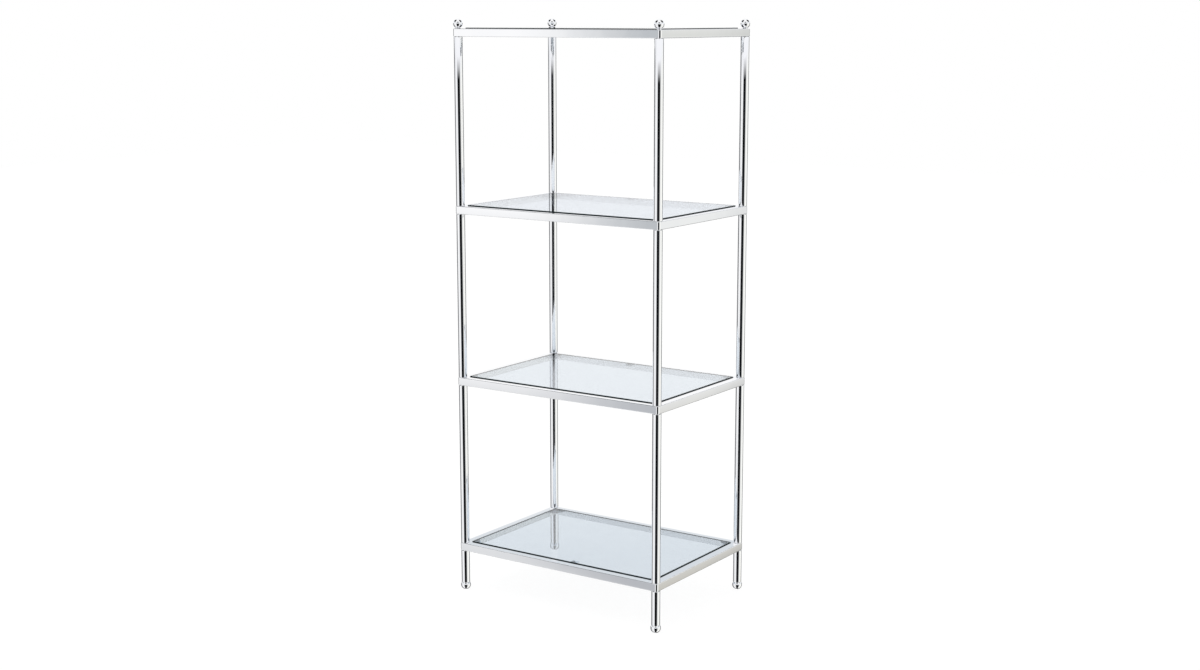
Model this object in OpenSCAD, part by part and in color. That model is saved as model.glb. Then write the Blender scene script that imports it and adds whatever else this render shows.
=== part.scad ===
// Four-tier glass shelving unit in chromed steel tube.
// Four rectangular frames are stacked on round corner posts, and each frame holds a glass
// shelf that lifts out. Ball feet stand on the floor and ball finials close the top corners.
// Studs run through the frame corners and screw into threaded plugs in the tube ends.
// The origin is on the floor under the middle of the unit. +X points right along the width,
// -Y is the front and +Z is up. Sizes are in millimetres.

/* [Unit] */
// Width over the shelf frames
unit_w = 610; // [400:5:900]
// Depth over the shelf frames
unit_d = 420; // [280:5:600]
// Height of the bottom frame's top face above the floor
bottom_shelf_z = 127; // [90:1:250]
// Rise from one frame to the next
shelf_pitch = 440; // [250:5:600]

/* [Frame rails] */
// Width of the rails, which is also the outside diameter of the posts and legs
tube_d = 22; // [18:0.5:30]
// Height of the rail tube
rail_h = 20; // [16:0.5:32]
// Wall of the rail tube
rail_wall = 1.2; // [0.8:0.1:2]
// Outside radius along the edges of the rail tube
rail_edge_r = 1.5; // [0.5:0.1:2.5]
// Radius of the ground outer corners of a frame, seen from above
frame_corner_r = 3; // [1:0.5:6]

/* [Posts and legs] */
// Wall of the round tube
post_wall = 1.2; // [0.8:0.1:2]

/* [Glass shelves] */
// Thickness of the glass
glass_t = 5; // [3:0.5:8]
// How far the glass stands above the top of its frame
glass_rise = 2; // [0:0.5:2.5]
// Gap between the glass and the rails on each side
glass_gap = 1.5; // [0.5:0.1:3]
// Radius of the corners of the glass, seen from above
glass_corner_r = 2; // [1:0.5:10]
// Chamfer along the edges of the glass
glass_arris = 0.8; // [0.2:0.1:1.2]

/* [Glass supports] */
// Diameter of the clear pads under the glass
pad_d = 12; // [8:0.5:13.5]
// Height of the clear pads
pad_h = 2; // [1:0.5:4]
// Distance of a pad from the edge of the glass
pad_edge = 3.5; // [1:0.5:4]
// Thickness of the plates that carry the pads
plate_t = 2; // [1.5:0.5:4]
// Length of a corner plate along each rail
corner_plate_leg = 34; // [33:1:60]
// Width of the tab on one long rail
tab_w = 20; // [16:1:40]
// Metal left round the pad at the end of the tab
tab_margin = 1; // [0.5:0.5:6]
// Distance of the tab from the middle of its rail
tab_offset = 34; // [0:1:150]

/* [Studs and plugs] */
// Diameter of the studs
stud_d = 8; // [6:0.5:10]
// Clearance of a stud in the frame on each side
stud_clearance = 0.25; // [0.1:0.05:0.6]
// Clearance of a stud in its thread on each side
thread_clearance = 0.05; // [0.02:0.01:0.1]
// Length of the threaded plug in a tube end
plug_l = 12; // [8:1:20]
// Clearance of a plug in its tube on each side
plug_clearance = 0.05; // [0.02:0.01:0.1]
// Depth of the threaded socket in a foot or finial
socket_depth = 12; // [8:0.5:15]
// Room left between a stud's end and the bottom of its socket
socket_end_gap = 0.5; // [0.2:0.1:2]

/* [Feet and finials] */
// How much wider the ball feet are than the legs
foot_extra_d = 4; // [3:0.5:14]
// Diameter of the flat that a foot stands on
foot_flat_d = 8; // [5:0.5:14]
// How far a foot's seat stays inside the outside of the leg
foot_seat_inset = 0.5; // [0.2:0.1:1]
// Diameter of the finial balls
finial_ball_d = 24; // [20:0.5:40]
// Diameter of the finial necks
finial_neck_d = 12; // [10.5:0.5:16]
// Height of a finial neck at its outside
finial_neck_h = 1.2; // [1:0.1:8]

/* [Hidden] */
$fn = 96;
CUT = 1;

TIERS = ["bottom", "lower", "upper", "top"];
SIDES = ["front", "right", "back", "left"];
CORNERS = ["front_left", "front_right", "back_right", "back_left"];
STOREYS = [0, 1, 2];
TOP = 3;

// The bottom frame is fitted the other way round, so its tab is on the front rail.
TURNED = [true, false, false, false];

CHROME = [0.82, 0.84, 0.86];
GLASS = [0.76, 0.86, 0.88, 0.4];
CLEAR_PAD = [0.92, 0.94, 0.94, 0.6];
ZINC = [0.66, 0.67, 0.66];

rail_w = tube_d;
post_d = tube_d;
rail_inner_r = max(rail_edge_r - rail_wall, 0.2);
post_x = (unit_w - rail_w) / 2;
post_y = (unit_d - rail_w) / 2;
post_l = shelf_pitch - rail_h;
inner_w = unit_w - 2 * rail_w;
inner_d = unit_d - 2 * rail_w;
glass_w = inner_w - 2 * glass_gap;
glass_d = inner_d - 2 * glass_gap;
pad_inset = glass_gap + pad_edge + pad_d / 2;
tab_reach = pad_inset + pad_d / 2 + tab_margin;
plug_d = post_d - 2 * post_wall - 2 * plug_clearance;
thread_d = stud_d + 2 * thread_clearance;
stud_hole_d = stud_d + 2 * stud_clearance;
socket_grip = socket_depth - socket_end_gap;

function half_chord(ball_d, cut_d) = sqrt(pow(ball_d / 2, 2) - pow(cut_d / 2, 2));

foot_ball_d = post_d + foot_extra_d;
foot_seat_d = post_d - 2 * foot_seat_inset;
foot_centre_z = half_chord(foot_ball_d, foot_flat_d);
foot_h = foot_centre_z + half_chord(foot_ball_d, foot_seat_d);
finial_centre = finial_neck_h + half_chord(finial_ball_d, finial_neck_d);
leg_l = bottom_shelf_z - rail_h - foot_h;

// Top faces of the support plates, measured from the top of their frame.
plate_top = glass_rise - glass_t - pad_h;

// Where the pads stand: one at each corner of the glass and one on the tab.
pad_places = concat(
    [for (sx = [-1, 1], sy = [-1, 1])
        [sx * (inner_w / 2 - pad_inset), sy * (inner_d / 2 - pad_inset)]],
    [[-tab_offset, inner_d / 2 - pad_inset]]
);

function shelf_z(tier) = bottom_shelf_z + tier * shelf_pitch;
function corner_sign(corner) = [(corner == 1 || corner == 2) ? 1 : -1, corner >= 2 ? 1 : -1];
function is_long(side) = side % 2 == 0;
function rail_name(tier, side) = str(TIERS[tier], "_", SIDES[side], "_rail");
function tier_name(tier, piece) = str(TIERS[tier], "_", piece);
function post_name(tier, corner) = str(TIERS[tier], "_", CORNERS[corner], "_post");
function corner_name(corner, piece) = str(CORNERS[corner], "_", piece);

// A rectangle with round corners, centred on the origin.
module rounded_rect(w, h, r) {
    square([w - 2 * r, h], center = true);
    square([w, h - 2 * r], center = true);
    for (sx = [-1, 1], sy = [-1, 1]) {
        translate([sx * (w / 2 - r), sy * (h / 2 - r)]) circle(r);
    }
}

// The same rectangle drawn out along X, centred on the origin.
module bar_along_x(length, w, h, r) {
    rotate([90, 0, 90]) linear_extrude(length, center = true) rounded_rect(w, h, r);
}

// A rail's outline from above: ends cut at 45 degrees, outer corners round.
// Its outer face lies on y = 0 and it runs along X, centred.
module mitred_outline(length) {
    r = frame_corner_r;
    intersection() {
        polygon([
            [-length / 2, 0],
            [length / 2, 0],
            [length / 2 - rail_w, rail_w],
            [-length / 2 + rail_w, rail_w]
        ]);
        union() {
            translate([-length / 2 + r, 0]) square([length - 2 * r, rail_w]);
            translate([-length / 2, r]) square([length, rail_w]);
            for (s = [-1, 1]) {
                translate([s * (length / 2 - r), r]) circle(r);
            }
        }
    }
}

// One hollow rail with its top face on z = 0 and its outer face on y = 0. The holes for the
// corner studs lie on the mitres, so half of each hole is in this rail.
module mitred_rail(length) {
    color(CHROME) difference() {
        intersection() {
            translate([0, 0, -rail_h]) linear_extrude(rail_h) mitred_outline(length);
            translate([0, rail_w / 2, -rail_h / 2]) {
                bar_along_x(length, rail_w, rail_h, rail_edge_r);
            }
        }
        translate([0, rail_w / 2, -rail_h / 2]) {
            bar_along_x(
                length + 2 * CUT,
                rail_w - 2 * rail_wall,
                rail_h - 2 * rail_wall,
                rail_inner_r
            );
        }
        for (s = [-1, 1]) {
            translate([s * (length - rail_w) / 2, rail_w / 2, -rail_h - CUT]) {
                cylinder(h = rail_h + 2 * CUT, d = stud_hole_d);
            }
        }
    }
}

// A frame rail in its place. Side 0 is the front, and the sides run round to the right.
module frame_rail(tier, side) {
    span = is_long(side) ? unit_w : unit_d;
    reach = is_long(side) ? unit_d / 2 : unit_w / 2;
    translate([0, 0, shelf_z(tier)]) rotate(90 * side) translate([0, -reach, 0]) mitred_rail(span);
}

// A triangular plate welded into the back right corner of the frame.
module corner_plate() {
    x = inner_w / 2;
    y = inner_d / 2;
    linear_extrude(plate_t) polygon([[x, y], [x - corner_plate_leg, y], [x, y - corner_plate_leg]]);
}

// A small tab welded to the back rail, left of the middle.
module rail_tab() {
    translate([-tab_offset - tab_w / 2, inner_d / 2 - tab_reach, 0]) {
        cube([tab_w, tab_reach, plate_t]);
    }
}

// The welded plates that carry one glass shelf.
module glass_supports(tier) {
    color(CHROME) translate([0, 0, shelf_z(tier) + plate_top - plate_t]) {
        rotate(TURNED[tier] ? 180 : 0) {
            corner_plate();
            mirror([1, 0, 0]) corner_plate();
            mirror([0, 1, 0]) corner_plate();
            rotate(180) corner_plate();
            rail_tab();
        }
    }
}

// A clear pad: a low dome with a flat top for the glass.
module pad() {
    crown = min(pad_h / 2, pad_d / 6);
    rotate_extrude() polygon([
        [0, 0],
        [pad_d / 2, 0],
        [pad_d / 2, pad_h - crown],
        [pad_d / 2 - crown, pad_h],
        [0, pad_h]
    ]);
}

// The clear pads under one glass shelf.
module glass_pads(tier) {
    color(CLEAR_PAD) translate([0, 0, shelf_z(tier) + plate_top]) {
        rotate(TURNED[tier] ? 180 : 0) {
            for (place = pad_places) translate(place) pad();
        }
    }
}

// A section of the glass with chamfered top and bottom edges, drawn out along X.
module arrised_slab(length, w) {
    a = glass_arris;
    rotate([90, 0, 90]) linear_extrude(length, center = true) polygon([
        [-w / 2 + a, -glass_t],
        [w / 2 - a, -glass_t],
        [w / 2, -glass_t + a],
        [w / 2, -a],
        [w / 2 - a, 0],
        [-w / 2 + a, 0],
        [-w / 2, -a],
        [-w / 2, -glass_t + a]
    ]);
}

// One glass shelf, standing a little above its frame.
module glass_shelf(tier) {
    color(GLASS) translate([0, 0, shelf_z(tier) + glass_rise]) intersection() {
        translate([0, 0, -glass_t]) linear_extrude(glass_t) {
            rounded_rect(glass_w, glass_d, glass_corner_r);
        }
        arrised_slab(glass_w, glass_d);
        rotate(90) arrised_slab(glass_d, glass_w);
    }
}

// Puts a piece on the axis of a corner post.
module at_corner(corner) {
    s = corner_sign(corner);
    translate([s[0] * post_x, s[1] * post_y, 0]) children();
}

module tube(length) {
    difference() {
        cylinder(h = length, d = post_d);
        translate([0, 0, -CUT]) cylinder(h = length + 2 * CUT, d = post_d - 2 * post_wall);
    }
}

// The post that stands on a corner of this tier's frame and carries the next frame.
module post(tier, corner) {
    color(CHROME) at_corner(corner) translate([0, 0, shelf_z(tier)]) tube(post_l);
}

// The leg between a foot and the bottom frame.
module leg(corner) {
    color(CHROME) at_corner(corner) translate([0, 0, foot_h]) tube(leg_l);
}

// A ball foot: flat below to stand on, flat above for the leg, with a threaded socket.
module foot(corner) {
    color(CHROME) at_corner(corner) difference() {
        intersection() {
            translate([0, 0, foot_centre_z]) sphere(d = foot_ball_d);
            cylinder(h = foot_h, d = foot_ball_d + 2 * CUT);
        }
        translate([0, 0, foot_h - socket_depth]) cylinder(h = socket_depth + CUT, d = thread_d);
    }
}

// A ball finial on a short neck, with a threaded socket below.
module finial(corner) {
    color(CHROME) at_corner(corner) translate([0, 0, shelf_z(TOP)]) difference() {
        union() {
            translate([0, 0, finial_centre]) sphere(d = finial_ball_d);
            cylinder(h = finial_centre, d = finial_neck_d);
        }
        translate([0, 0, -CUT]) cylinder(h = socket_depth + CUT, d = thread_d);
    }
}

// A threaded plug, pressed into a tube end.
module plug() {
    difference() {
        cylinder(h = plug_l, d = plug_d);
        translate([0, 0, -CUT]) cylinder(h = plug_l + 2 * CUT, d = thread_d);
    }
}

// The plugs at both ends of every post.
module post_plugs() {
    color(ZINC) for (tier = STOREYS, corner = [0 : 3]) {
        at_corner(corner) translate([0, 0, shelf_z(tier)]) {
            plug();
            translate([0, 0, post_l - plug_l]) plug();
        }
    }
}

// The plugs at both ends of every leg.
module leg_plugs() {
    color(ZINC) for (corner = [0 : 3]) {
        at_corner(corner) translate([0, 0, foot_h]) {
            plug();
            translate([0, 0, leg_l - plug_l]) plug();
        }
    }
}

// The studs that join tube, frame and tube at the three lower frames.
module joining_studs() {
    color(ZINC) for (tier = STOREYS, corner = [0 : 3]) {
        at_corner(corner) translate([0, 0, shelf_z(tier) - rail_h - plug_l]) {
            cylinder(h = rail_h + 2 * plug_l, d = stud_d);
        }
    }
}

// The studs that hold the finials through the top frame.
module finial_studs() {
    color(ZINC) for (corner = [0 : 3]) {
        at_corner(corner) translate([0, 0, shelf_z(TOP) - rail_h - plug_l]) {
            cylinder(h = plug_l + rail_h + socket_grip, d = stud_d);
        }
    }
}

// The studs that hold the feet.
module foot_studs() {
    color(ZINC) for (corner = [0 : 3]) {
        at_corner(corner) translate([0, 0, foot_h - socket_grip]) {
            cylinder(h = socket_grip + plug_l, d = stud_d);
        }
    }
}

for (tier = [0 : TOP]) {
    for (side = [0 : 3]) {
        frame_rail(tier, side);
    }
    glass_supports(tier);
    glass_pads(tier);
    glass_shelf(tier);
}
for (corner = [0 : 3]) {
    for (tier = STOREYS) {
        post(tier, corner);
    }
    leg(corner);
    foot(corner);
    finial(corner);
}
post_plugs();
leg_plugs();
joining_studs();
finial_studs();
foot_studs();
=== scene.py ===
import math

import bmesh
import bpy
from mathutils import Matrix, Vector


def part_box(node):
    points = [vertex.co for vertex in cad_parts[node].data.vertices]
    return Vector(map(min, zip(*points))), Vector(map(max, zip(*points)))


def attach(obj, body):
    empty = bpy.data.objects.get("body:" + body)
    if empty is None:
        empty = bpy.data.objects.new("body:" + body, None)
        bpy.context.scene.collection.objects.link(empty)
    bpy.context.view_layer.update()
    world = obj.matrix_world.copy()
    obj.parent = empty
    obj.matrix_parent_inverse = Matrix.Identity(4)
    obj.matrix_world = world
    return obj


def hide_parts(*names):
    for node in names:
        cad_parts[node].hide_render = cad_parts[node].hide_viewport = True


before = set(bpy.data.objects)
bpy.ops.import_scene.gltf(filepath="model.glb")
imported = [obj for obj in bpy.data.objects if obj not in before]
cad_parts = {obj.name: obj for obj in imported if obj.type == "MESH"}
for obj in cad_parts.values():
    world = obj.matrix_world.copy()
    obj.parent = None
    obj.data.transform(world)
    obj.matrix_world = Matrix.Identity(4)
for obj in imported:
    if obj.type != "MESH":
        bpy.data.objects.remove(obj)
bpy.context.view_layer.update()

MM = 0.001
TIERS = ("bottom", "lower", "upper", "top")
SIDES = ("front", "right", "back", "left")
CORNERS = ("front_left", "front_right", "back_right", "back_left")

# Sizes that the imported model's boxes don't give.
TUBE_END = 1.1 * MM  # rounding of a post's and a leg's ends
FRAME_CORNER = 6 * MM
RAIL_EDGE = 1.5 * MM
PLATE_LEG = 34 * MM
PLATE_EDGE = 0.4 * MM
PAD_D = 12 * MM
TAB = ((-44, 0), (-24, 0), (-24, -24), (-44, -24))  # outline in mm from the back rail's inside
TAB_MIDDLE = -34 * MM
THREAD_PITCH = 1.25 * MM
SHARP = 35  # degrees; a turn by more than this is a sharp edge
AXIS = 1e-6  # radius of the ring that a profile is turned on, far below anything that shows


# Camera: stands right of the unit and a little above its top, level enough that the top frame
# is seen on edge. No shift, so that every other view stays whole.

def place_camera():
    data = bpy.data.cameras.new("camera")
    camera = bpy.data.objects.new("camera", data)
    bpy.context.scene.collection.objects.link(camera)
    turn, tilt = 0.59663, -0.18167
    ahead = Vector((
        -math.sin(turn) * math.cos(tilt),
        math.cos(turn) * math.cos(tilt),
        math.sin(tilt),
    ))
    camera.location = (2.45456, -3.62071, 1.480)
    camera.rotation_mode = "QUATERNION"
    camera.rotation_quaternion = ahead.to_track_quat("-Z", "Y")
    data.sensor_width = 36
    data.lens = 52.286
    data.clip_start = 0.05
    data.clip_end = 60
    bpy.context.scene.camera = camera


# Nodes, colours and sizes.

def add(tree, kind, inputs=None, **settings):
    """Adds one node. Each input takes a value, or is linked if it is given a socket."""
    made = tree.nodes.new(kind)
    for name, value in settings.items():
        setattr(made, name, value)
    for name, value in (inputs or {}).items():
        if isinstance(value, bpy.types.NodeSocket):
            tree.links.new(value, made.inputs[name])
        else:
            made.inputs[name].default_value = value
    return made


def colour(code):
    """An sRGB hex colour, turned to linear."""
    parts = [int(code[i:i + 2], 16) / 255 for i in (1, 3, 5)]
    return [c / 12.92 if c <= 0.04045 else ((c + 0.055) / 1.055) ** 2.4 for c in parts] + [1.0]


def per_mm(size):
    """The noise scale whose patches are about this many millimetres wide."""
    return 1 / (size * MM)


def new_material(name):
    material = bpy.data.materials.new(name)
    material.use_nodes = True
    tree = material.node_tree
    tree.nodes.clear()
    out = add(tree, "ShaderNodeOutputMaterial")
    place = add(tree, "ShaderNodeTexCoord").outputs["Object"]
    return material, tree, out, place


# Materials.

def bright_chrome():
    """Decorative chrome plate on buffed steel tube. It mirrors the room, the buffing leaves a
    long soft wave in the reflections, and handling leaves faint dull patches."""
    material, tree, out, place = new_material("bright_chrome_plate")
    wave = add(tree, "ShaderNodeTexNoise", {
        "Vector": place, "Scale": per_mm(38), "Detail": 1.0, "Roughness": 0.4,
    })
    # Buffing lines are finer than this in reality, about 0.05 mm apart.
    lines = add(tree, "ShaderNodeTexNoise", {
        "Vector": place, "Scale": per_mm(0.8), "Detail": 2.0, "Roughness": 0.5,
    })
    soft = add(tree, "ShaderNodeBump", {
        "Strength": 0.5, "Distance": 0.1 * MM, "Height": wave.outputs["Fac"],
    })
    fine = add(tree, "ShaderNodeBump", {
        "Strength": 0.15, "Distance": 0.002 * MM, "Height": lines.outputs["Fac"],
        "Normal": soft.outputs["Normal"],
    })
    handled = add(tree, "ShaderNodeTexNoise", {
        "Vector": place, "Scale": per_mm(70), "Detail": 5.0, "Roughness": 0.6,
    })
    dull = add(tree, "ShaderNodeMapRange", {
        "Value": handled.outputs["Fac"],
        "From Min": 0.45, "From Max": 0.75, "To Min": 0.012, "To Max": 0.035,
    })
    tone = add(tree, "ShaderNodeMix", {
        "Factor": handled.outputs["Fac"], "A": colour("#FDFDFE"), "B": colour("#F6F7FA"),
    }, data_type="RGBA")
    shader = add(tree, "ShaderNodeBsdfPrincipled", {
        "Base Color": tone.outputs["Result"],
        "Metallic": 1.0,
        "Roughness": dull.outputs["Result"],
        "Normal": fine.outputs["Normal"],
    })
    tree.links.new(shader.outputs["BSDF"], out.inputs["Surface"])
    return material


def satin_chrome():
    """Thin chrome over tube as it was drawn, on the inside faces of the frames, where no buffing
    wheel reaches and little plate settles. It is milky and gives back the light of the room with
    no image in it."""
    material, tree, out, place = new_material("satin_chrome_plate")
    grain = add(tree, "ShaderNodeTexNoise", {
        "Vector": place, "Scale": per_mm(1.2), "Detail": 4.0, "Roughness": 0.6,
    })
    patches = add(tree, "ShaderNodeTexNoise", {
        "Vector": place, "Scale": per_mm(25), "Detail": 3.0,
    })
    dull = add(tree, "ShaderNodeMapRange", {
        "Value": patches.outputs["Fac"],
        "From Min": 0.35, "From Max": 0.7, "To Min": 0.22, "To Max": 0.30,
    })
    tone = add(tree, "ShaderNodeMix", {
        "Factor": patches.outputs["Fac"], "A": colour("#FEFEFE"), "B": colour("#F5F6F8"),
    }, data_type="RGBA")
    bump = add(tree, "ShaderNodeBump", {
        "Strength": 0.2, "Distance": 0.01 * MM, "Height": grain.outputs["Fac"],
    })
    shader = add(tree, "ShaderNodeBsdfPrincipled", {
        "Base Color": tone.outputs["Result"],
        "Metallic": 0.8,
        "Roughness": dull.outputs["Result"],
        "Normal": bump.outputs["Normal"],
    })
    tree.links.new(shader.outputs["BSDF"], out.inputs["Surface"])
    return material


def float_glass():
    """Clear float glass, 5 mm. A faint blue-green body colour, a slight roller wave in what it
    reflects, and a little dust that dulls it in patches."""
    material, tree, out, place = new_material("clear_float_glass")
    wave = add(tree, "ShaderNodeTexNoise", {
        "Vector": place, "Scale": per_mm(180), "Detail": 1.0,
    })
    bump = add(tree, "ShaderNodeBump", {
        "Strength": 0.3, "Distance": 0.05 * MM, "Height": wave.outputs["Fac"],
    })
    dust = add(tree, "ShaderNodeTexNoise", {
        "Vector": place, "Scale": per_mm(45), "Detail": 6.0, "Roughness": 0.65,
    })
    haze = add(tree, "ShaderNodeMapRange", {
        "Value": dust.outputs["Fac"],
        "From Min": 0.5, "From Max": 0.8, "To Min": 0.0, "To Max": 0.03,
    })
    tint = add(tree, "ShaderNodeMix", {
        "Factor": dust.outputs["Fac"], "A": colour("#DFE7EE"), "B": colour("#D9E1E9"),
    }, data_type="RGBA")
    shader = add(tree, "ShaderNodeBsdfPrincipled", {
        "Base Color": tint.outputs["Result"],
        "Roughness": haze.outputs["Result"],
        "IOR": 1.52,
        "Transmission Weight": 1.0,
        "Normal": bump.outputs["Normal"],
    })
    tree.links.new(shader.outputs["BSDF"], out.inputs["Surface"])
    return material


def glass_edge():
    """The ground and polished edge of the glass, in a near-black colour with a green cast and fine
    grinding marks across it. The green cast is the glass's own. The near-black is painted shade
    for the dark that a pane's edge shows when seen along the pane."""
    material, tree, out, place = new_material("glass_edge_painted_dark")
    marks = add(tree, "ShaderNodeTexNoise", {
        "Vector": place, "Scale": per_mm(1.5), "Detail": 3.0, "Roughness": 0.6,
    })
    # Near-black with a green cast: painted shade for the dark edge line, mottled by the grinding
    # marks.
    tone = add(tree, "ShaderNodeMix", {
        "Factor": marks.outputs["Fac"], "A": colour("#101a1c"), "B": colour("#2b3a3d"),
    }, data_type="RGBA")
    bump = add(tree, "ShaderNodeBump", {
        "Strength": 0.3, "Distance": 0.02 * MM, "Height": marks.outputs["Fac"],
    })
    shader = add(tree, "ShaderNodeBsdfPrincipled", {
        "Base Color": tone.outputs["Result"],
        "Roughness": 0.25,
        "IOR": 1.52,
        "Specular IOR Level": 0.2,
        "Normal": bump.outputs["Normal"],
    })
    tree.links.new(shader.outputs["BSDF"], out.inputs["Surface"])
    return material


def clear_bumper():
    """Soft clear PVC bumper, moulded. Slightly milky, with a satin skin and a few bubbles."""
    material, tree, out, place = new_material("clear_pvc_bumper")
    bubbles = add(tree, "ShaderNodeTexVoronoi", {"Vector": place, "Scale": per_mm(1.2)})
    milk = add(tree, "ShaderNodeTexNoise", {
        "Vector": place, "Scale": per_mm(3), "Detail": 3.0,
    })
    bump = add(tree, "ShaderNodeBump", {
        "Strength": 0.2, "Distance": 0.05 * MM, "Height": bubbles.outputs["Distance"],
    })
    tone = add(tree, "ShaderNodeMix", {
        "Factor": milk.outputs["Fac"], "A": colour("#EEF3F4"), "B": colour("#D9E1E3"),
    }, data_type="RGBA")
    shader = add(tree, "ShaderNodeBsdfPrincipled", {
        "Base Color": tone.outputs["Result"],
        "Roughness": 0.22,
        "IOR": 1.53,
        "Transmission Weight": 0.85,
        "Normal": bump.outputs["Normal"],
    })
    tree.links.new(shader.outputs["BSDF"], out.inputs["Surface"])
    return material


def zinc_plate():
    """Bright zinc plate on turned steel, for the studs and plugs inside the tubes. Cool grey with
    a faint yellow passivation in patches, and the thread as fine rings, 1.25 mm apart."""
    material, tree, out, place = new_material("zinc_plated_steel")
    patches = add(tree, "ShaderNodeTexNoise", {
        "Vector": place, "Scale": per_mm(6), "Detail": 4.0, "Roughness": 0.6,
    })
    # The wave texture repeats every tau / 20 at a scale of 1.
    rings = add(tree, "ShaderNodeTexWave", {
        "Vector": place, "Scale": math.tau / (20 * THREAD_PITCH),
    }, bands_direction="Z", wave_profile="TRI")
    tone = add(tree, "ShaderNodeMix", {
        "Factor": patches.outputs["Fac"], "A": colour("#C3C6C7"), "B": colour("#B9B59D"),
    }, data_type="RGBA")
    dull = add(tree, "ShaderNodeMapRange", {
        "Value": patches.outputs["Fac"],
        "From Min": 0.3, "From Max": 0.7, "To Min": 0.28, "To Max": 0.45,
    })
    bump = add(tree, "ShaderNodeBump", {
        "Strength": 0.5, "Distance": 0.3 * MM, "Height": rings.outputs["Fac"],
    })
    shader = add(tree, "ShaderNodeBsdfPrincipled", {
        "Base Color": tone.outputs["Result"],
        "Metallic": 1.0,
        "Roughness": dull.outputs["Result"],
        "Normal": bump.outputs["Normal"],
    })
    tree.links.new(shader.outputs["BSDF"], out.inputs["Surface"])
    return material


# Geometry Nodes.

def new_tree(name, inputs):
    tree = bpy.data.node_groups.new(name, "GeometryNodeTree")
    tree.interface.new_socket("Geometry", in_out="INPUT", socket_type="NodeSocketGeometry")
    for label, kind in inputs:
        tree.interface.new_socket(label, in_out="INPUT", socket_type="NodeSocket" + kind)
    tree.interface.new_socket("Geometry", in_out="OUTPUT", socket_type="NodeSocketGeometry")
    return tree, add(tree, "NodeGroupInput").outputs, add(tree, "NodeGroupOutput")


def turned_tree():
    """Turns the piece's own profile round the upright axis, and repeats it at the four corners
    and on each level."""
    tree, given, out = new_tree("turned_at_the_corners", (
        ("Turns", "Int"), ("Across X", "Float"), ("Across Y", "Float"),
        ("Levels", "Int"), ("Rise", "Float"), ("Finish", "Material"),
    ))
    profile = add(tree, "GeometryNodeMeshToCurve", {"Mesh": given["Geometry"]})
    ring = add(tree, "GeometryNodeCurvePrimitiveCircle", {
        "Resolution": given["Turns"], "Radius": AXIS,
    })
    upright = add(tree, "GeometryNodeSetCurveNormal", {
        "Curve": ring.outputs["Curve"],
    }, mode="Z_UP")
    turned = add(tree, "GeometryNodeCurveToMesh", {
        "Curve": upright.outputs["Curve"], "Profile Curve": profile.outputs["Curve"],
    })
    closed = add(tree, "GeometryNodeMergeByDistance", {
        "Geometry": turned.outputs["Mesh"], "Distance": 5 * AXIS,
    })
    corners = add(tree, "GeometryNodeMeshGrid", {
        "Size X": given["Across X"], "Size Y": given["Across Y"], "Vertices X": 2, "Vertices Y": 2,
    })
    four = add(tree, "GeometryNodeInstanceOnPoints", {
        "Points": corners.outputs["Mesh"], "Instance": closed.outputs["Geometry"],
    })
    step = add(tree, "ShaderNodeCombineXYZ", {"Z": given["Rise"]})
    storeys = add(tree, "GeometryNodeMeshLine", {
        "Count": given["Levels"], "Offset": step.outputs["Vector"],
    })
    all_levels = add(tree, "GeometryNodeInstanceOnPoints", {
        "Points": storeys.outputs["Mesh"], "Instance": four.outputs["Instances"],
    })
    real = add(tree, "GeometryNodeRealizeInstances", {"Geometry": all_levels.outputs["Instances"]})
    finish = add(tree, "GeometryNodeSetMaterial", {
        "Geometry": real.outputs["Geometry"], "Material": given["Finish"],
    })
    tree.links.new(finish.outputs["Geometry"], out.inputs["Geometry"])
    return tree


def bead_tree():
    """Puts an overlapping row of weld ripples along the piece's own lines."""
    tree, given, out = new_tree("weld_ripples", (
        ("Pitch", "Float"), ("Ripple Radius", "Float"), ("Finish", "Material"),
    ))
    line = add(tree, "GeometryNodeMeshToCurve", {"Mesh": given["Geometry"]})
    stops = add(tree, "GeometryNodeCurveToPoints", {
        "Curve": line.outputs["Curve"], "Length": given["Pitch"],
    }, mode="LENGTH")
    ripple = add(tree, "GeometryNodeMeshUVSphere", {
        "Segments": 12, "Rings": 8, "Radius": given["Ripple Radius"],
    })
    size = add(tree, "FunctionNodeRandomValue", {"Min": 0.85, "Max": 1.1, "Seed": 4})
    row = add(tree, "GeometryNodeInstanceOnPoints", {
        "Points": stops.outputs["Points"], "Instance": ripple.outputs["Mesh"],
    })
    # The random value gives a float here, and the instances grow and shrink as a whole.
    tree.links.new(size.outputs[1], row.inputs["Scale"])
    real = add(tree, "GeometryNodeRealizeInstances", {"Geometry": row.outputs["Instances"]})
    finish = add(tree, "GeometryNodeSetMaterial", {
        "Geometry": real.outputs["Geometry"], "Material": given["Finish"],
    })
    tree.links.new(finish.outputs["Geometry"], out.inputs["Geometry"])
    return tree


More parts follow.
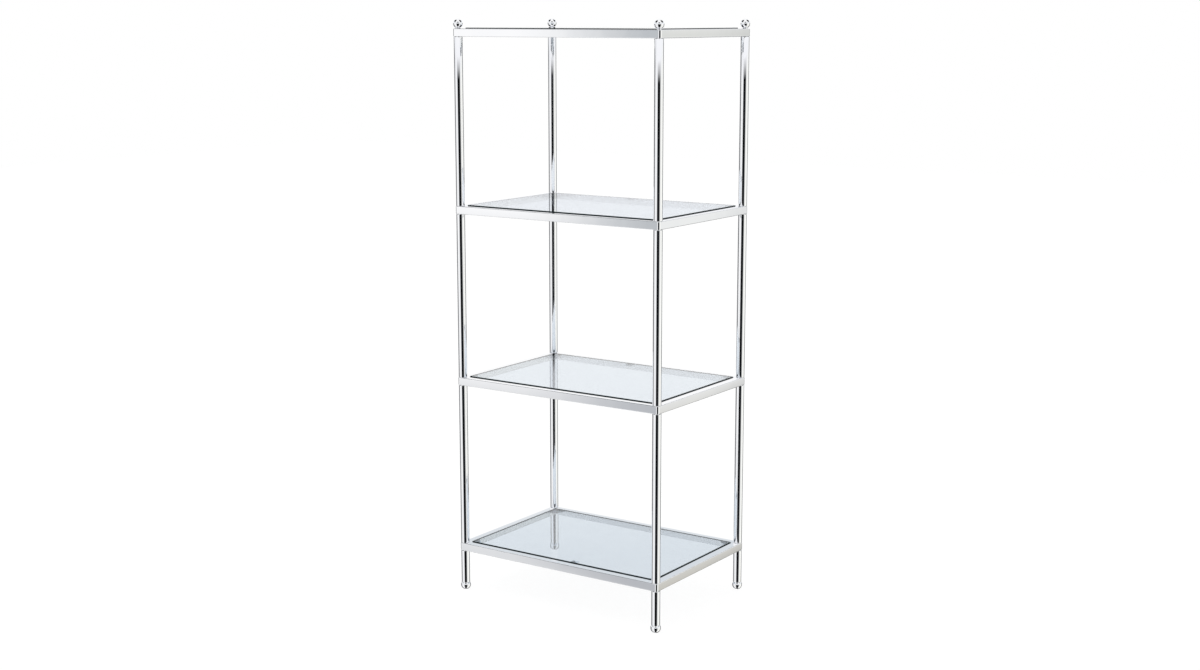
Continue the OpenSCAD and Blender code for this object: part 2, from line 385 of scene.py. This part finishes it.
def pad_tree():
    """Puts a moulded bumper on each of the piece's own points."""
    tree, given, out = new_tree("bumpers_on_points", (
        ("Diameter", "Float"), ("Height", "Float"), ("Shoulder", "Float"),
        ("Finish", "Material"),
    ))
    radius = add(tree, "ShaderNodeMath", {0: given["Diameter"], 1: 0.5}, operation="MULTIPLY")
    disc = add(tree, "GeometryNodeMeshCylinder", {
        "Vertices": 40, "Side Segments": 10, "Fill Segments": 1,
        "Radius": radius.outputs[0], "Depth": given["Height"],
    })
    # How far a vertex is below the flat top, as a share of the shoulder.
    place = add(tree, "GeometryNodeInputPosition")
    axes = add(tree, "ShaderNodeSeparateXYZ", {"Vector": place.outputs["Position"]})
    half = add(tree, "ShaderNodeMath", {0: given["Height"], 1: 0.5}, operation="MULTIPLY")
    below = add(tree, "ShaderNodeMath", {0: half.outputs[0], 1: axes.outputs["Z"]},
                operation="SUBTRACT")
    share = add(tree, "ShaderNodeMath", {0: below.outputs[0], 1: given["Shoulder"]},
                operation="DIVIDE", use_clamp=True)
    left = add(tree, "ShaderNodeMath", {0: 1.0, 1: share.outputs[0]}, operation="SUBTRACT")
    square = add(tree, "ShaderNodeMath", {0: left.outputs[0], 1: 2.0}, operation="POWER")
    rest = add(tree, "ShaderNodeMath", {0: 1.0, 1: square.outputs[0]}, operation="SUBTRACT")
    arc = add(tree, "ShaderNodeMath", {0: rest.outputs[0], 1: 0.5}, operation="POWER")
    pull = add(tree, "ShaderNodeMath", {0: 1.0, 1: arc.outputs[0]}, operation="SUBTRACT")
    inward = add(tree, "ShaderNodeMath", {0: pull.outputs[0], 1: given["Shoulder"]},
                 operation="MULTIPLY")
    share_in = add(tree, "ShaderNodeMath", {0: inward.outputs[0], 1: radius.outputs[0]},
                   operation="DIVIDE")
    keep = add(tree, "ShaderNodeMath", {0: 1.0, 1: share_in.outputs[0]}, operation="SUBTRACT")
    flat = add(tree, "ShaderNodeCombineXYZ", {
        "X": keep.outputs[0], "Y": keep.outputs[0], "Z": 1.0,
    })
    moved = add(tree, "ShaderNodeVectorMath", {
        0: place.outputs["Position"], 1: flat.outputs["Vector"],
    }, operation="MULTIPLY")
    bumper = add(tree, "GeometryNodeSetPosition", {
        "Geometry": disc.outputs["Mesh"], "Position": moved.outputs["Vector"],
    })
    row = add(tree, "GeometryNodeInstanceOnPoints", {
        "Points": given["Geometry"], "Instance": bumper.outputs["Geometry"],
    })
    real = add(tree, "GeometryNodeRealizeInstances", {"Geometry": row.outputs["Instances"]})
    finish = add(tree, "GeometryNodeSetMaterial", {
        "Geometry": real.outputs["Geometry"], "Material": given["Finish"],
    })
    tree.links.new(finish.outputs["Geometry"], out.inputs["Geometry"])
    return tree


def grown(name, vertices, edges, tree, values):
    """Runs a node tree on a mesh of points or lines and keeps the result as a plain mesh."""
    seed = bpy.data.meshes.new(name + "_seed")
    seed.from_pydata(vertices, edges, [])
    carrier = bpy.data.objects.new(name + "_seed", seed)
    bpy.context.scene.collection.objects.link(carrier)
    modifier = carrier.modifiers.new("nodes", "NODES")
    modifier.node_group = tree
    sockets = {s.name: s.identifier for s in tree.interface.items_tree if s.in_out == "INPUT"}
    for label, value in values.items():
        modifier[sockets[label]] = value
    bpy.context.view_layer.update()
    whole = carrier.evaluated_get(bpy.context.evaluated_depsgraph_get())
    mesh = bpy.data.meshes.new_from_object(whole)
    bpy.data.objects.remove(carrier)
    return smooth_piece(name, mesh, outward=True)


def smooth_piece(name, mesh, outward=False):
    """A finished mesh object with smooth faces and sharp edges where it turns."""
    mesh.name = name
    if outward:
        work = bmesh.new()
        work.from_mesh(mesh)
        if work.calc_volume(signed=True) < 0:
            bmesh.ops.reverse_faces(work, faces=work.faces)
        work.to_mesh(mesh)
        work.free()
    mesh.shade_smooth()
    mesh.set_sharp_from_angle(angle=math.radians(SHARP))
    piece = bpy.data.objects.new(name, mesh)
    bpy.context.scene.collection.objects.link(piece)
    return piece


def even_faces(piece):
    """Keeps the flats flat: big faces set the normals of the narrow rounded edges."""
    modifier = piece.modifiers.new("weighted", "WEIGHTED_NORMAL")
    modifier.keep_sharp = True
    modifier.weight = 100
    bpy.context.view_layer.update()
    whole = piece.evaluated_get(bpy.context.evaluated_depsgraph_get())
    piece.data = bpy.data.meshes.new_from_object(whole)
    piece.modifiers.clear()
    return piece


# Sizes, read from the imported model.

rail_low, rail_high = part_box("bottom_front_rail")
side_low, side_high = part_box("bottom_right_rail")
HALF_W = rail_high.x
HALF_D = side_high.y
RAIL_W = rail_high.y - rail_low.y
RAIL_H = rail_high.z - rail_low.z
post_low, post_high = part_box("bottom_front_right_post")
POST_R = (post_high.x - post_low.x) / 2
POST_X = (post_high.x + post_low.x) / 2
POST_Y = -(post_high.y + post_low.y) / 2
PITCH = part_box("lower_front_rail")[1].z - rail_high.z
SHELF_Z = [rail_high.z + PITCH * tier for tier in range(4)]


def arc(cx, cz, radius, start, end, steps):
    """Points on an arc, as (out, up). Angles are in degrees from straight out."""
    turns = [math.radians(start + (end - start) * i / steps) for i in range(steps + 1)]
    return [(cx + radius * math.cos(t), cz + radius * math.sin(t)) for t in turns]


def turned(name, profile, finish, levels=1, rise=0.0, turns=96):
    """A turned piece at the four corners. The profile runs from the top down, as (out, up)."""
    vertices = [(max(out, 0) - AXIS, -up, 0) for out, up in profile]
    edges = [(i, i + 1) for i in range(len(vertices) - 1)]
    return grown(name, vertices, edges, TURNED, {
        "Turns": turns, "Across X": 2 * POST_X, "Across Y": 2 * POST_Y,
        "Levels": levels, "Rise": rise, "Finish": finish,
    })


def tube_profile(bottom, top, radius, edge):
    return (
        [(0, top)]
        + arc(radius - edge, top - edge, edge, 90, 0, 5)
        + arc(radius - edge, bottom + edge, edge, 0, -90, 5)
        + [(0, bottom)]
    )


def make_posts():
    posts = turned(
        "posts", tube_profile(post_low.z, post_high.z, POST_R, TUBE_END), CHROME,
        levels=3, rise=PITCH,
    )
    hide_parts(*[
        f"{tier}_{corner}_post" for tier in TIERS[:3] for corner in CORNERS
    ])
    low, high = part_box("front_right_leg")
    legs = turned("legs", tube_profile(low.z, high.z, POST_R, TUBE_END), CHROME)
    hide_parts(*[f"{corner}_leg" for corner in CORNERS])
    return [posts, legs]


def make_balls():
    # Feet: a ball with a flat to stand on and a flat seat that the leg covers.
    low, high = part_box("front_right_foot")
    radius = (high.x - low.x) / 2
    flat = 4 * MM
    centre = math.sqrt(radius ** 2 - flat ** 2)
    seat = math.degrees(math.asin((high.z - centre) / radius))
    base = math.degrees(math.asin(-centre / radius))
    feet = turned(
        "ball_feet", [(0, high.z)] + arc(0, centre, radius, seat, base, 56) + [(0, 0)], CHROME
    )
    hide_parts(*[f"{corner}_foot" for corner in CORNERS])

    # Finials: a full ball on a short neck.
    low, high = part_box("front_right_finial")
    radius = (high.x - low.x) / 2
    neck = 6 * MM
    centre = high.z - radius
    base = -math.degrees(math.acos(neck / radius))
    finials = turned(
        "ball_finials",
        arc(0, centre, radius, 90, base, 64) + [(neck, low.z), (0, low.z)],
        CHROME,
    )
    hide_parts(*[f"{corner}_finial" for corner in CORNERS])
    return [feet, finials]


def ring_of_points(work, inward, up, half_w, half_d, corner, steps=8):
    """Points round a rectangle with round corners, drawn inward by an amount."""
    reach = max(corner - inward, 0)
    x = half_w - max(corner, inward)
    y = half_d - max(corner, inward)
    ring = []
    for quarter, (sx, sy) in enumerate(((1, 1), (-1, 1), (-1, -1), (1, -1))):
        for i in range(steps + 1):
            t = math.radians(90 * (quarter + i / steps))
            ring.append(work.verts.new((
                sx * x + reach * math.cos(t), sy * y + reach * math.sin(t), up
            )))
    return ring


def skin(work, a, b, finish=0):
    for i in range(len(a)):
        j = (i + 1) % len(a)
        work.faces.new((a[i], a[j], b[j], b[i])).material_index = finish


def crowned(start, end, crown, steps=10):
    """Points between two ends of a flat, bowed to the left of the way they run."""
    length = math.dist(start, end)
    along = ((end[0] - start[0]) / length, (end[1] - start[1]) / length)
    points = []
    for i in range(1, steps):
        t = i / steps
        bow = crown * 4 * t * (1 - t)
        points.append((
            start[0] + (end[0] - start[0]) * t - along[1] * bow,
            start[1] + (end[1] - start[1]) * t + along[0] * bow,
        ))
    return points


def make_frame(tier):
    """Four rails welded at their mitres and buffed into one ring. Rolled tube is never quite
    flat: each face stands up by a few hundredths of a millimetre in its middle."""
    top = SHELF_Z[tier]
    edge = RAIL_EDGE
    crown = 0.06 * MM
    left, right = edge + crown, RAIL_W - edge - crown
    low, high = top - RAIL_H + edge + crown, top - edge - crown
    corners = [
        arc(right, high, edge, 90, 0, 6), arc(right, low, edge, 0, -90, 6),
        arc(left, low, edge, -90, -180, 6), arc(left, high, edge, 180, 90, 6),
    ]
    section = []
    for i, corner in enumerate(corners):
        section += corner + crowned(corner[-1], corners[(i + 1) % 4][0], crown)
    work = bmesh.new()
    rings = [
        ring_of_points(work, inward, up, HALF_W, HALF_D, FRAME_CORNER)
        for inward, up in section
    ]
    for i in range(len(rings)):
        j = (i + 1) % len(rings)
        inside = min(section[i][0], section[j][0]) > RAIL_W - 1.5 * crown
        skin(work, rings[i], rings[j], finish=int(inside))
    bmesh.ops.remove_doubles(work, verts=work.verts, dist=1e-7)
    bmesh.ops.dissolve_degenerate(work, edges=work.edges, dist=1e-7)
    bmesh.ops.recalc_face_normals(work, faces=work.faces)
    mesh = bpy.data.meshes.new("frame")
    work.to_mesh(mesh)
    work.free()
    mesh.materials.append(CHROME)
    mesh.materials.append(SATIN)
    piece = even_faces(smooth_piece(TIERS[tier] + "_welded_frame", mesh, outward=True))
    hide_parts(*[f"{TIERS[tier]}_{side}_rail" for side in SIDES])
    return piece


def make_glass(tier):
    """A glass pane with round corners and ground edges. The edges take the dark painted finish,
    and it runs 4.5 mm in on the underside as a painted dark band, which shows through the pane as
    a dark line at the far edges: painted shade."""
    low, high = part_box(f"{TIERS[tier]}_glass_shelf")
    # The underside band in from the edge takes the dark edge colour: painted shade, not a part of
    # the glass.
    arris, painted_dark_margin = 0.8 * MM, 4.5 * MM
    edge = [
        (arris, high.z), (0, high.z - arris), (0, low.z + arris), (arris, low.z), (painted_dark_margin, low.z),
    ]
    work = bmesh.new()
    rings = [
        ring_of_points(work, inward, up, high.x, high.y, 2 * MM) for inward, up in edge
    ]
    for a, b in zip(rings, rings[1:]):
        skin(work, a, b, finish=1)
    work.faces.new(rings[0])
    work.faces.new(rings[-1])
    bmesh.ops.recalc_face_normals(work, faces=work.faces)
    mesh = bpy.data.meshes.new("glass")
    work.to_mesh(mesh)
    work.free()
    mesh.materials.append(GLASS)
    # Slot 1 carries the painted dark of the edges and of the underside band.
    mesh.materials.append(PAINTED_DARK_EDGE)
    piece = even_faces(smooth_piece(TIERS[tier] + "_glass", mesh, outward=True))
    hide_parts(f"{TIERS[tier]}_glass_shelf")
    return piece


def way_round(tier):
    """The bottom frame is turned by half a turn, so that its tab lies at the front."""
    return -1 if tier == 0 else 1


def make_supports(tier):
    """Corner plates and the tab, with their edges broken, and the welds that hold them."""
    name = TIERS[tier]
    low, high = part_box(f"{name}_glass_supports")
    x, y = HALF_W - RAIL_W, HALF_D - RAIL_W
    way = way_round(tier)
    outlines = [
        [(sx * x, sy * y), (sx * (x - PLATE_LEG), sy * y), (sx * x, sy * (y - PLATE_LEG))]
        for sx in (-1, 1) for sy in (-1, 1)
    ]
    outlines.append([(way * u * MM, way * (y + v * MM)) for u, v in TAB])
    work = bmesh.new()
    for outline in outlines:
        base = work.faces.new([work.verts.new((u, v, low.z)) for u, v in outline])
        raised = bmesh.ops.extrude_face_region(work, geom=[base])["geom"]
        for vertex in (g for g in raised if isinstance(g, bmesh.types.BMVert)):
            vertex.co.z = high.z
    bmesh.ops.recalc_face_normals(work, faces=work.faces)
    bmesh.ops.bevel(
        work, geom=work.edges[:], offset=PLATE_EDGE, segments=2, profile=0.5, affect="EDGES",
        offset_type="OFFSET",
    )
    mesh = bpy.data.meshes.new("supports")
    work.to_mesh(mesh)
    work.free()
    mesh.materials.append(CHROME)
    plates = even_faces(smooth_piece(name + "_glass_supports_plates", mesh, outward=True))
    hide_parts(f"{name}_glass_supports")

    # Two short welds along each side of a corner plate and one under the tab.
    inset = 0.6 * MM
    z = low.z
    lines = []
    for sx in (-1, 1):
        for sy in (-1, 1):
            for start, end in ((6, 14), (22, 30)):
                lines.append((
                    (sx * (x - start * MM), sy * (y - inset), z),
                    (sx * (x - end * MM), sy * (y - inset), z),
                ))
                lines.append((
                    (sx * (x - inset), sy * (y - start * MM), z),
                    (sx * (x - inset), sy * (y - end * MM), z),
                ))
    lines.append(tuple((way * u * MM, way * (y - inset), z) for u in (-41, -27)))
    vertices = [point for line in lines for point in line]
    edges = [(2 * i, 2 * i + 1) for i in range(len(lines))]
    welds = grown(name + "_support_welds", vertices, edges, RIPPLES, {
        "Pitch": 1.1 * MM, "Ripple Radius": 1.1 * MM, "Finish": CHROME,
    })
    return [plates, welds]


def make_pads(tier):
    name = TIERS[tier]
    low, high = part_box(f"{name}_glass_pads")
    # The bumpers stay a little clear of the glass above them.
    clear = 0.02 * MM
    x, y = (high.x - low.x) / 2 - PAD_D / 2, (high.y - low.y) / 2 - PAD_D / 2
    z = (low.z + high.z) / 2 - clear
    places = [(sx * x, sy * y, z) for sx in (-1, 1) for sy in (-1, 1)]
    places.append((way_round(tier) * TAB_MIDDLE, way_round(tier) * y, z))
    pads = grown(name + "_bumpers", places, [], BUMPERS, {
        "Diameter": PAD_D, "Height": high.z - low.z - 2 * clear, "Shoulder": 1.2 * MM,
        "Finish": PAD,
    })
    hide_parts(f"{name}_glass_pads")
    return pads


# The studio: a white room with a dark side to the front and the right of the unit. Only polished
# surfaces see that side, as a dark line down each tube. Everything else sees plain white.

def scan(tree, value, low, high, stops, fade="LINEAR"):
    """Colours by degrees from low to high, with straight or eased fades between them. What lies
    outside takes the end colours."""
    share = add(tree, "ShaderNodeMapRange", {"Value": value, "From Min": low, "From Max": high})
    ramp = add(tree, "ShaderNodeValToRGB", {"Fac": share.outputs["Result"]})
    ramp.color_ramp.interpolation = fade
    elements = ramp.color_ramp.elements
    while len(elements) > 1:
        elements.remove(elements[-1])
    for i, (angle, code) in enumerate(stops):
        at = (angle - low) / (high - low)
        element = elements[0] if i == 0 else elements.new(at)
        element.position = at
        element.color = colour(code)
    return ramp.outputs["Color"]


def mixed(tree, factor, a, b, blend="MIX"):
    made = add(tree, "ShaderNodeMix", {"Factor": factor, "A": a, "B": b},
               data_type="RGBA", blend_type=blend)
    return made.outputs["Result"]


def painted_room(tree, way):
    """What polished surfaces see, by two angles in degrees: the turn from the front towards the
    right of the unit, and the height above the horizon."""
    white = colour("#FFFFFF")
    axes = add(tree, "ShaderNodeSeparateXYZ", {"Vector": way})
    front = add(tree, "ShaderNodeMath", {0: axes.outputs["Y"], 1: -1.0}, operation="MULTIPLY")
    around = add(tree, "ShaderNodeMath", {0: axes.outputs["X"], 1: front.outputs[0]},
                 operation="ARCTAN2")
    turn = add(tree, "ShaderNodeMath", {0: around.outputs[0]}, operation="DEGREES").outputs[0]
    above = add(tree, "ShaderNodeMath", {0: axes.outputs["Z"]}, operation="ARCSINE")
    height = add(tree, "ShaderNodeMath", {0: above.outputs[0]}, operation="DEGREES").outputs[0]

    # The black side of the room. It stops a little above the horizon, so that glass and the tops
    # of the frames stay clear from the other side, and goes on higher up as a column. Straight to
    # the front and straight to the right the room is pale grey.
    front_wall = scan(tree, turn, -180, 180, (
        (-8, "#FFFFFF"), (-6, "#E4E6E8"), (5, "#E4E6E8"), (7.5, "#020203"), (36, "#020203"),
        (46, "#2A2C2F"), (71, "#34373A"), (75, "#FFFFFA"), (82, "#FFFFFA"), (84, "#E8E9E7"),
        (96, "#E8E9E7"), (98, "#FFFFFA"), (150, "#FFFFFA"), (156, "#FFFFFF"),
    ))
    below_top = scan(tree, height, -10, 20, ((2.5, "#FFFFFF"), (5.5, "#000000")))
    room = mixed(tree, below_top, white, front_wall)
    column = scan(tree, turn, -20, 90, (
        (11, "#FFFFFF"), (16, "#020203"), (54, "#020203"), (59, "#FFFFFF"),
    ))
    column_part = scan(tree, height, 10, 60, (
        (24, "#000000"), (27, "#FFFFFF"), (42, "#FFFFFF"), (46, "#000000"),
    ))
    room = mixed(tree, 1.0, room, mixed(tree, column_part, white, column), "MULTIPLY")

    # Dark strips to the left and the back, no higher than the wall, that line the edges of the
    # tubes. They leave a light gap straight to the left and straight to the back.
    strips = scan(tree, turn, -180, 180, (
        (-176, "#E4E6E8"), (-174.5, "#141517"), (-160, "#141517"), (-157, "#FFFFFF"),
        (-116, "#FFFFFF"), (-114, "#141517"), (-96, "#141517"), (-94.5, "#DDE0E3"),
        (-85.5, "#E6E8EA"), (-84, "#141517"), (-63, "#141517"), (-61, "#FFFFFF"),
        (154.5, "#FFFFFF"), (156.5, "#141517"), (174.5, "#141517"), (176, "#E4E6E8"),
    ))
    room = mixed(tree, 1.0, room, mixed(tree, below_top, white, strips), "MULTIPLY")

    # Two dark openings higher up, left and right, that only the balls show.
    openings = scan(tree, turn, -180, 180, (
        (-108, "#FFFFFF"), (-104, "#060607"), (-38, "#060607"), (-34, "#FFFFFF"),
        (104, "#FFFFFF"), (108, "#060607"), (172, "#060607"), (176, "#FFFFFF"),
    ))
    above_wall = scan(tree, height, 10, 90, (
        (27, "#000000"), (30, "#FFFFFF"), (65, "#FFFFFF"), (69, "#000000"),
    ))
    room = mixed(tree, 1.0, room, mixed(tree, above_wall, white, openings), "MULTIPLY")

    # Up the room: dark under the unit, and a pale grey strip just above the horizon.
    rise = scan(tree, height, -90, 90, (
        (-76, "#1A1B1C"), (-71, "#FFFFFF"), (0, "#FFFFFF"), (6, "#F9FAFD"), (11, "#FFFFFF"),
        (13, "#FFFFFF"), (17.5, "#D9DFE4"), (21, "#D9DFE4"), (27, "#FFFFFF"),
    ))

    # The card that the front rails face. It fades from light to mid grey across its width, and
    # the fade starts earlier and from a greyer tone towards the floor.
    card_high = scan(tree, turn, -44, -28, (
        (-37, "#FFFFFF"), (-32, "#BEC2C5"), (-31.6, "#BEC2C5"), (-30.6, "#FFFFFF"),
    ), fade="EASE")
    card_low = scan(tree, turn, -44, -28, (
        (-42, "#FFFFFF"), (-40, "#E2E3E4"), (-38.5, "#E2E3E4"), (-32.5, "#BABCC0"),
        (-31.6, "#BABCC0"), (-30.6, "#FFFFFF"),
    ), fade="EASE")
    down = scan(tree, height, -25, 5, ((-19, "#FFFFFF"), (-3, "#000000")), fade="EASE")
    front_card = mixed(tree, down, card_high, card_low)

    # The card that the right rails face. It is nearly white, fades a little to the back, and
    # takes a warm grey towards the floor.
    side_card = scan(tree, turn, 142, 156, (
        (143.5, "#FFFFFF"), (146, "#F0F1F4"), (149, "#F0F1F4"), (152, "#DCDDE0"),
        (152.5, "#DCDDE0"), (155, "#FFFFFF"),
    ), fade="EASE")
    side_fall = scan(tree, height, -25, 5, (
        (-23, "#C6C1B6"), (-9, "#FFFFFF"), (-5, "#FFFFFF"), (-1, "#ECECE9"), (4, "#FFFFFF"),
    ))
    near_card = scan(tree, turn, 142, 156, (
        (143, "#000000"), (145.5, "#FFFFFF"), (152.5, "#FFFFFF"), (155, "#000000"),
    ))
    side = mixed(tree, 1.0, side_card, mixed(tree, near_card, white, side_fall), "MULTIPLY")

    room = mixed(tree, 1.0, room, rise, "MULTIPLY")
    room = mixed(tree, 1.0, room, front_card, "MULTIPLY")
    return mixed(tree, 1.0, room, side, "MULTIPLY")


def white_room():
    world = bpy.data.worlds.new("studio")
    bpy.context.scene.world = world
    world.use_nodes = True
    tree = world.node_tree
    tree.nodes.clear()
    out = add(tree, "ShaderNodeOutputWorld")
    way = add(tree, "ShaderNodeTexCoord").outputs["Generated"]
    room = painted_room(tree, way)
    ray = add(tree, "ShaderNodeLightPath").outputs
    mirrored = mixed(tree, ray["Is Glossy Ray"], colour("#FFFFFF"), room)
    seen = add(tree, "ShaderNodeMath", {0: ray["Is Camera Ray"], 1: ray["Is Glossy Ray"]},
               operation="MAXIMUM")
    through = add(tree, "ShaderNodeMath", {0: seen.outputs[0], 1: ray["Is Transmission Ray"]},
                  operation="MAXIMUM")
    # What is seen of the room has a strength of 1. As light on the unit it is a little lower.
    strength = add(tree, "ShaderNodeMapRange", {
        "Value": through.outputs[0], "To Min": 0.8, "To Max": 1.0,
    })
    background = add(tree, "ShaderNodeBackground", {
        "Color": mirrored, "Strength": strength.outputs["Result"],
    })
    tree.links.new(background.outputs["Background"], out.inputs["Surface"])


def pale_floor():
    """A plain white floor. Most of its light is its own for what looks at it, so it runs into the
    white of the room with no edge, and it still takes the soft shadow of the unit."""
    mesh = bpy.data.meshes.new("floor")
    reach = 12
    own_light, own_share = 1.06, 0.88
    mesh.from_pydata([(-reach, -reach, 0), (reach, -reach, 0), (reach, reach, 0),
                      (-reach, reach, 0)], [], [(0, 1, 2, 3)])
    floor = bpy.data.objects.new("floor", mesh)
    bpy.context.scene.collection.objects.link(floor)
    material, tree, out, _ = new_material("white_studio_floor")
    paint = add(tree, "ShaderNodeBsdfDiffuse", {"Color": colour("#F7F7F7")})
    own = add(tree, "ShaderNodeEmission", {"Color": colour("#FFFFFF"), "Strength": own_light})
    ray = add(tree, "ShaderNodeLightPath").outputs
    looked_at = add(tree, "ShaderNodeMath", {
        0: ray["Is Camera Ray"], 1: ray["Is Transmission Ray"],
    }, operation="MAXIMUM")
    most = add(tree, "ShaderNodeMath", {0: looked_at.outputs[0], 1: own_share},
               operation="MULTIPLY")
    both = add(tree, "ShaderNodeMixShader", {
        0: most.outputs[0], 1: paint.outputs["BSDF"], 2: own.outputs["Emission"],
    })
    tree.links.new(both.outputs["Shader"], out.inputs["Surface"])
    mesh.materials.append(material)
    floor.visible_glossy = False


def soft_lamp():
    data = bpy.data.lights.new("softbox", "AREA")
    data.shape = "RECTANGLE"
    data.size, data.size_y = 2.4, 1.6
    data.energy = 22
    lamp = bpy.data.objects.new("softbox", data)
    lamp.location = (-1.2, -1.6, 3.2)
    lamp.rotation_mode = "QUATERNION"
    lamp.rotation_quaternion = (Vector((0, 0, 0.6)) - lamp.location).to_track_quat("-Z", "Y")
    lamp.visible_glossy = False
    lamp.visible_camera = False
    bpy.context.scene.collection.objects.link(lamp)


# Everything is made and placed here.

bpy.context.scene.view_settings.view_transform = "Standard"
place_camera()
CHROME = bright_chrome()
SATIN = satin_chrome()
GLASS = float_glass()
# The glass edge's near-black colour is painted shade.
PAINTED_DARK_EDGE = glass_edge()
PAD = clear_bumper()
ZINC = zinc_plate()
TURNED = turned_tree()
RIPPLES = bead_tree()
BUMPERS = pad_tree()

for piece in make_posts() + make_balls():
    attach(piece, "frame")
for tier in range(4):
    for piece in [make_frame(tier)] + make_supports(tier):
        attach(piece, "frame")
    pads = make_pads(tier)
    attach(pads, "frame")
    pane = make_glass(tier)
    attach(pane, TIERS[tier] + "_glass")

for name in ("post_plugs", "leg_plugs", "joining_studs", "finial_studs", "foot_studs"):
    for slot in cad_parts[name].material_slots:
        slot.material = ZINC

white_room()
pale_floor()
soft_lamp()
